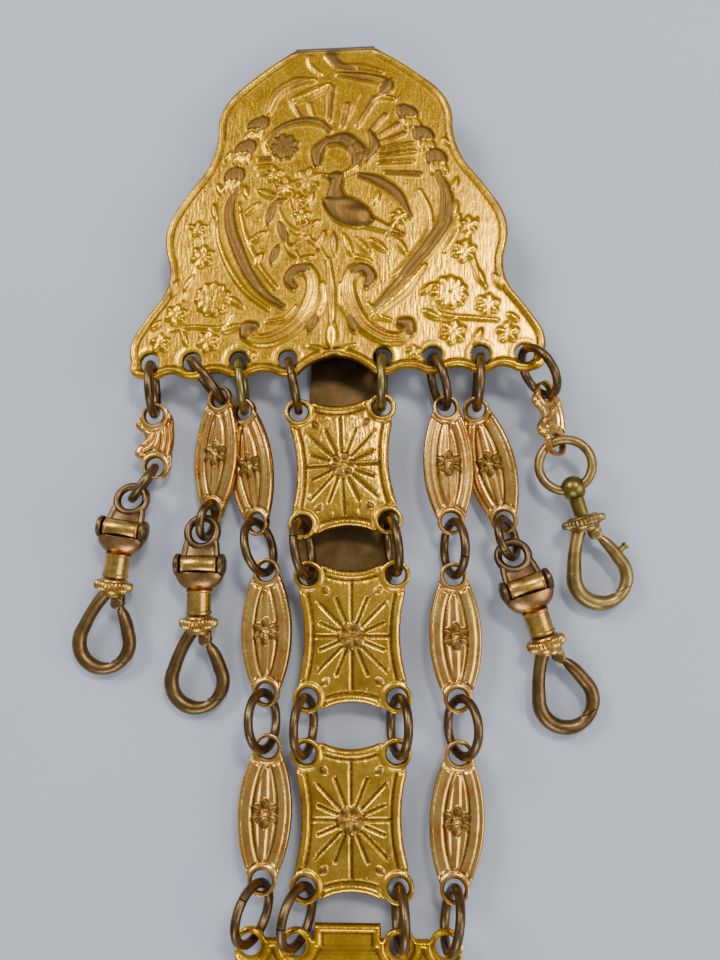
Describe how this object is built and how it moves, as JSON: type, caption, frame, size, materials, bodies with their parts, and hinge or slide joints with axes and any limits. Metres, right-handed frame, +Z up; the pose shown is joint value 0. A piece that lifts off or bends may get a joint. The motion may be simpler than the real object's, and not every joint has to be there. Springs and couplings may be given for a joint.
{
  "type": "chatelaine",
  "caption": "Gilt brass chatelaine: stamped hook plate with belt tongue, chain panel of square and navette links, side drops with swivel clips, lower plate with watch hook",
  "frame": {"origin": "middle of the bounding box, at the level the chatelaine lies on", "axes": "X across the hook plate, +Y from the lower end to the folded top of the plate, Z up from the surface it lies on"},
  "size_m": [0.0732, 0.163, 0.0097],
  "materials": {
    "gilt_sheet": "bright gilt stamped sheet with brown wear in the hollows",
    "gilt_links": "worn rose-tinted gilding",
    "ring_brass": "brown tarnished wire",
    "clip_brass": "brown and olive tarnished brass",
    "yellow_brass": "duller yellow brass"
  },
  "bodies": {
    "root": {"hook_plate": "gilt_sheet", "plate_ring_1": "ring_brass", "plate_ring_2": "ring_brass", "plate_ring_3": "ring_brass", "plate_ring_4": "ring_brass", "plate_ring_5": "ring_brass", "plate_ring_6": "ring_brass", "plate_ring_7": "ring_brass", "plate_ring_8": "ring_brass", "centre_link_1": "gilt_links", "centre_link_2": "gilt_links", "centre_link_3": "gilt_links", "centre_ring_1_left": "ring_brass", "centre_ring_1_right": "ring_brass", "centre_ring_2_left": "ring_brass", "centre_ring_2_right": "ring_brass", "centre_ring_3_left": "ring_brass", "centre_ring_3_right": "ring_brass", "left_link_1": "gilt_links", "left_link_2": "gilt_links", "left_link_3": "gilt_links", "right_link_1": "gilt_links", "right_link_2": "gilt_links", "right_link_3": "gilt_links", "left_ring_1": "ring_brass", "left_ring_2": "ring_brass", "left_ring_3": "ring_brass", "right_ring_1": "ring_brass", "right_ring_2": "ring_brass", "right_ring_3": "ring_brass", "drop_leaf_1": "gilt_links", "drop_navette_2": "gilt_links", "drop_navette_7": "gilt_links", "drop_leaf_8": "gilt_links", "drop_ring_1": "ring_brass", "drop_ring_2": "ring_brass", "drop_ring_7": "ring_brass", "drop_ring_8": "yellow_brass", "lower_plate": "gilt_sheet", "lower_ring": "ring_brass", "watch_hook": "clip_brass", "clip_1_bail": "clip_brass", "clip_2_bail": "clip_brass", "clip_3_bail": "clip_brass", "clip_4_swivel": "yellow_brass"},
    "yoke_1": {"clip_1_yoke": "gilt_links"},
    "hook_1": {"clip_1_hook": "clip_brass"},
    "gate_1": {"clip_1_gate": "clip_brass"},
    "yoke_2": {"clip_2_yoke": "gilt_links"},
    "hook_2": {"clip_2_hook": "clip_brass"},
    "gate_2": {"clip_2_gate": "clip_brass"},
    "yoke_3": {"clip_3_yoke": "gilt_links"},
    "hook_3": {"clip_3_hook": "clip_brass"},
    "gate_3": {"clip_3_gate": "clip_brass"},
    "hook_4": {"clip_4_hook": "yellow_brass"},
    "gate_4": {"clip_4_gate": "yellow_brass"}
  },
  "joints": [
    {"name": "clip_1_hinge", "type": "hinge", "parent": "root", "child": "yoke_1", "pos_m": [-0.03009, 0.0095, 0.00392], "axis": [0.9871, -0.1599, 0], "range_deg": [-95, 60]},
    {"name": "clip_1_swivel", "type": "hinge", "parent": "yoke_1", "child": "hook_1", "pos_m": [-0.03088, 0.00461, 0.00322], "axis": [-0.1583, -0.9775, -0.1392], "continuous": true},
    {"name": "clip_1_gate", "type": "hinge", "parent": "hook_1", "child": "gate_1", "pos_m": [-0.03069, -0.00013, 0.00257], "axis": [0.0223, 0.1374, -0.9903], "range_deg": [0, 18], "stiffness_Nm_per_rad": 0.002, "springref_deg": -5.73},
    {"name": "clip_2_hinge", "type": "hinge", "parent": "root", "child": "yoke_2", "pos_m": [-0.01954, 0.00465, 0.00392], "axis": [0.9997, -0.0244, 0], "range_deg": [-95, 60]},
    {"name": "clip_2_swivel", "type": "hinge", "parent": "yoke_2", "child": "hook_2", "pos_m": [-0.01966, -0.0003, 0.00322], "axis": [-0.0242, -0.99, -0.1392], "continuous": true},
    {"name": "clip_2_gate", "type": "hinge", "parent": "hook_2", "child": "gate_2", "pos_m": [-0.01883, -0.00498, 0.00257], "axis": [0.0034, 0.1391, -0.9903], "range_deg": [0, 18], "stiffness_Nm_per_rad": 0.002, "springref_deg": -5.73},
    {"name": "clip_3_hinge", "type": "hinge", "parent": "root", "child": "yoke_3", "pos_m": [0.02266, 0.0014, 0.00392], "axis": [0.9511, 0.309, 0], "range_deg": [-95, 60]},
    {"name": "clip_3_swivel", "type": "hinge", "parent": "yoke_3", "child": "hook_3", "pos_m": [0.02419, -0.00331, 0.00322], "axis": [0.306, -0.9418, -0.1392], "continuous": true},
    {"name": "clip_3_gate", "type": "hinge", "parent": "hook_3", "child": "gate_3", "pos_m": [0.02653, -0.00744, 0.00257], "axis": [-0.043, 0.1324, -0.9903], "range_deg": [0, 18], "stiffness_Nm_per_rad": 0.002, "springref_deg": -5.73},
    {"name": "clip_4_swivel", "type": "hinge", "parent": "root", "child": "hook_4", "pos_m": [0.03062, 0.00974, 0.003], "axis": [0.2569, -0.9587, -0.1219], "continuous": true},
    {"name": "clip_4_gate", "type": "hinge", "parent": "hook_4", "child": "gate_4", "pos_m": [0.03204, 0.00827, 0.00278], "axis": [-0.0315, 0.1177, -0.9925], "range_deg": [0, 18], "stiffness_Nm_per_rad": 0.002, "springref_deg": -5.73}
  ]
}
